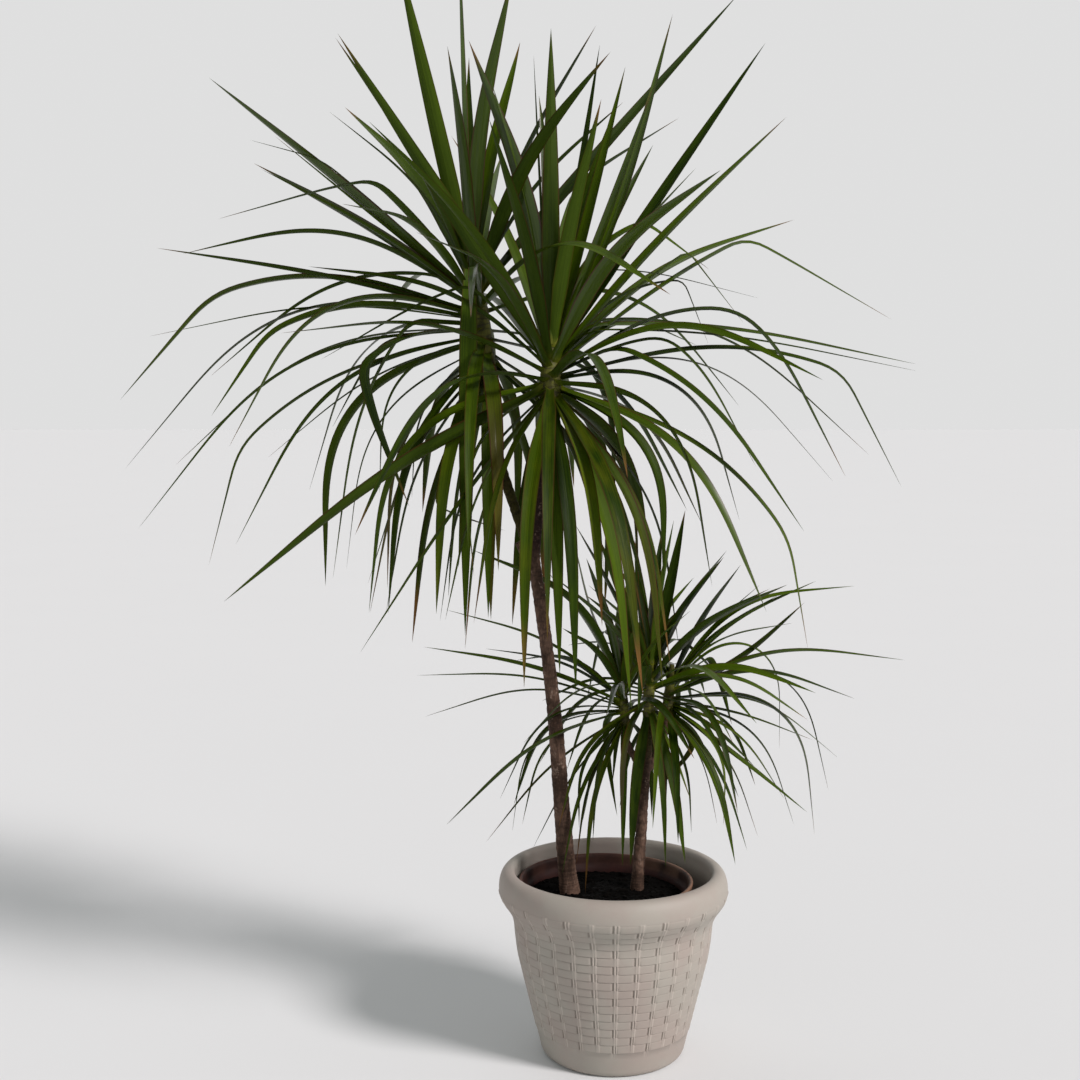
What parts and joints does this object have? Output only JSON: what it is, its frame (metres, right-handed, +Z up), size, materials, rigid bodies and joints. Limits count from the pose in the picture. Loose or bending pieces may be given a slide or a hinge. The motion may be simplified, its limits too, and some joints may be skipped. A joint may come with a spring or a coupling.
{
  "type": "potted dracaena",
  "caption": "Dracaena marginata house plant: two woody stems with heads of long arching narrow leaves, in a nursery pot inside a round woven-look planter.",
  "frame": {"origin": "centre of the planter's flat underside", "axes": "+Z up along the planter's axis, +X to the right and -Y towards the viewer of the picture"},
  "size_m": [0.9346, 0.7205, 1.3273],
  "materials": {
    "planter_plastic": "satin moulded, warm taupe grey",
    "nursery_plastic": "satin, terracotta brown",
    "soil": "rough, moist dark potting mix",
    "bark": "ringed matte bark, grey brown",
    "leaf": "waxy semi-gloss, dark green with maroon margins"
  },
  "bodies": {
    "root": {"planter": "planter_plastic", "nursery_pot": "nursery_plastic", "soil": "soil", "tall_trunk": "bark", "short_trunk": "bark", "tall_left_crown": "leaf", "tall_right_crown": "leaf", "short_left_crown": "leaf", "short_middle_crown": "leaf", "short_right_crown": "leaf"}
  },
  "joints": []
}
